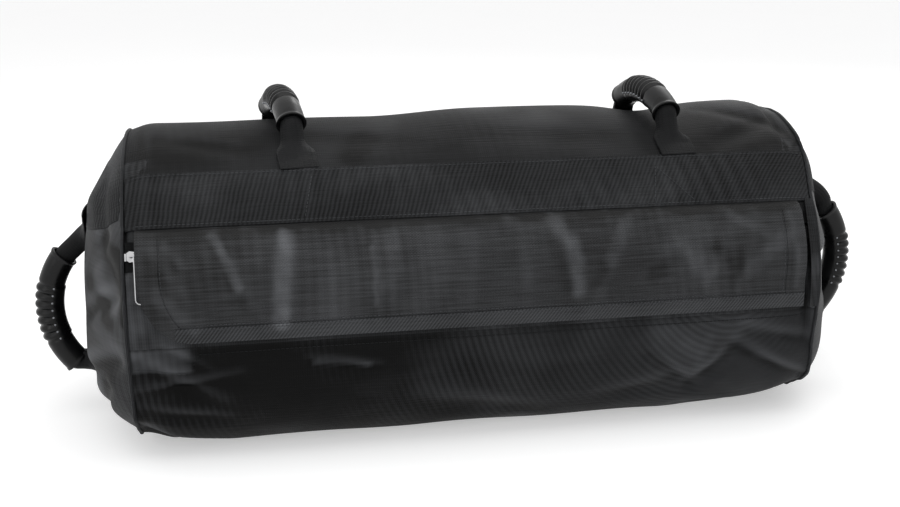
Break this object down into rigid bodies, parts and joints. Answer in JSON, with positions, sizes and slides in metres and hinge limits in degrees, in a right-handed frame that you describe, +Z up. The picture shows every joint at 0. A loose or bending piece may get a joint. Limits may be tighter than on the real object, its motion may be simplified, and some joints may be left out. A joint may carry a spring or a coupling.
{
  "type": "sandbag trainer",
  "caption": "Black nylon training sandbag: a round duffel with a zip under a hook-and-loop flap, webbing bands, ribbed carry handles and tied sand filler bags inside.",
  "frame": {"origin": "under the middle of the bag, on the floor", "axes": "+X along the bag to the right of the picture, -Y out of the zip side, +Z up"},
  "size_m": [0.9064, 0.3469, 0.3408],
  "materials": {
    "black_nylon": "woven nylon, low sheen",
    "base_nylon": "woven nylon, matt",
    "coated_nylon": "woven nylon, soft sheen",
    "twill_webbing": "heavy twill webbing",
    "hook_and_loop": "hook and loop tape",
    "filler_nylon": "plain nylon",
    "grip_rubber": "moulded, semi-gloss",
    "nickel": "nickel plated",
    "zip_nylon": "nylon coil"
  },
  "bodies": {
    "shell": {"band_front": "twill_webbing", "band_rear": "twill_webbing", "base_panel": "base_nylon", "end_band_left": "twill_webbing", "end_band_right": "twill_webbing", "end_handle_left_anchor_high": "twill_webbing", "end_handle_left_anchor_low": "twill_webbing", "end_handle_right_anchor_high": "twill_webbing", "end_handle_right_anchor_low": "twill_webbing", "end_panel_left": "black_nylon", "end_panel_right": "black_nylon", "filler_front": "filler_nylon", "filler_rear": "filler_nylon", "filler_tie_front": "twill_webbing", "filler_tie_rear": "twill_webbing", "filler_tie_top": "twill_webbing", "filler_top": "filler_nylon", "front_panel": "black_nylon", "loop_strip": "hook_and_loop", "piping_left": "twill_webbing", "piping_right": "twill_webbing", "top_handle_left_anchor_front": "twill_webbing", "top_handle_left_anchor_rear": "twill_webbing", "top_handle_right_anchor_front": "twill_webbing", "top_handle_right_anchor_rear": "twill_webbing", "top_panel": "black_nylon", "zip_chain_lower": "zip_nylon", "zip_chain_upper": "zip_nylon", "zip_stop_left": "nickel", "zip_stop_right": "nickel", "zip_tape_lower": "black_nylon", "zip_tape_upper": "black_nylon"},
    "flap": {"flap_panel": "coated_nylon", "flap_hem": "coated_nylon", "flap_edge_left": "coated_nylon", "flap_edge_right": "coated_nylon", "hook_strip": "hook_and_loop"},
    "slider": {"zip_slider": "nickel"},
    "pull": {"zip_pull": "nickel"},
    "top_handle_left": {"top_handle_left_grip": "grip_rubber", "top_handle_left_strap": "twill_webbing"},
    "top_handle_right": {"top_handle_right_grip": "grip_rubber", "top_handle_right_strap": "twill_webbing"},
    "end_handle_left": {"end_handle_left_grip": "grip_rubber", "end_handle_left_strap": "twill_webbing"},
    "end_handle_right": {"end_handle_right_grip": "grip_rubber", "end_handle_right_strap": "twill_webbing"}
  },
  "joints": [
    {"name": "flap_hinge", "type": "hinge", "parent": "shell", "child": "flap", "pos_m": [0, -0.14017, 0.22986], "axis": [-1, 0, 0], "range_deg": [0, 80]},
    {"name": "zip_slide", "type": "slide", "parent": "shell", "child": "slider", "axis": [1, 0, 0], "range_m": [0, 0.615]},
    {"name": "pull_swing", "type": "hinge", "parent": "slider", "child": "pull", "pos_m": [-0.32475, -0.15461, 0.21014], "axis": [0, -0.9488, 0.3159], "range_deg": [-8, 85]},
    {"name": "top_left_swing", "type": "hinge", "parent": "shell", "child": "top_handle_left", "pos_m": [-0.185, 0, 0.29378], "axis": [-0.1219, 0.9925, 0], "range_deg": [-25, 25], "stiffness_Nm_per_rad": 0.35},
    {"name": "top_right_swing", "type": "hinge", "parent": "shell", "child": "top_handle_right", "pos_m": [0.205, 0, 0.29378], "axis": [-0.0523, 0.9986, 0], "range_deg": [-25, 25], "stiffness_Nm_per_rad": 0.35},
    {"name": "end_left_swing", "type": "hinge", "parent": "shell", "child": "end_handle_left", "pos_m": [-0.39122, 0, 0.12257], "axis": [-0.0316, 0, 0.9995], "range_deg": [-50, 50], "stiffness_Nm_per_rad": 0.2},
    {"name": "end_right_swing", "type": "hinge", "parent": "shell", "child": "end_handle_right", "pos_m": [0.39122, 0, 0.12257], "axis": [0.0316, 0, 0.9995], "range_deg": [-50, 50], "stiffness_Nm_per_rad": 0.2}
  ]
}
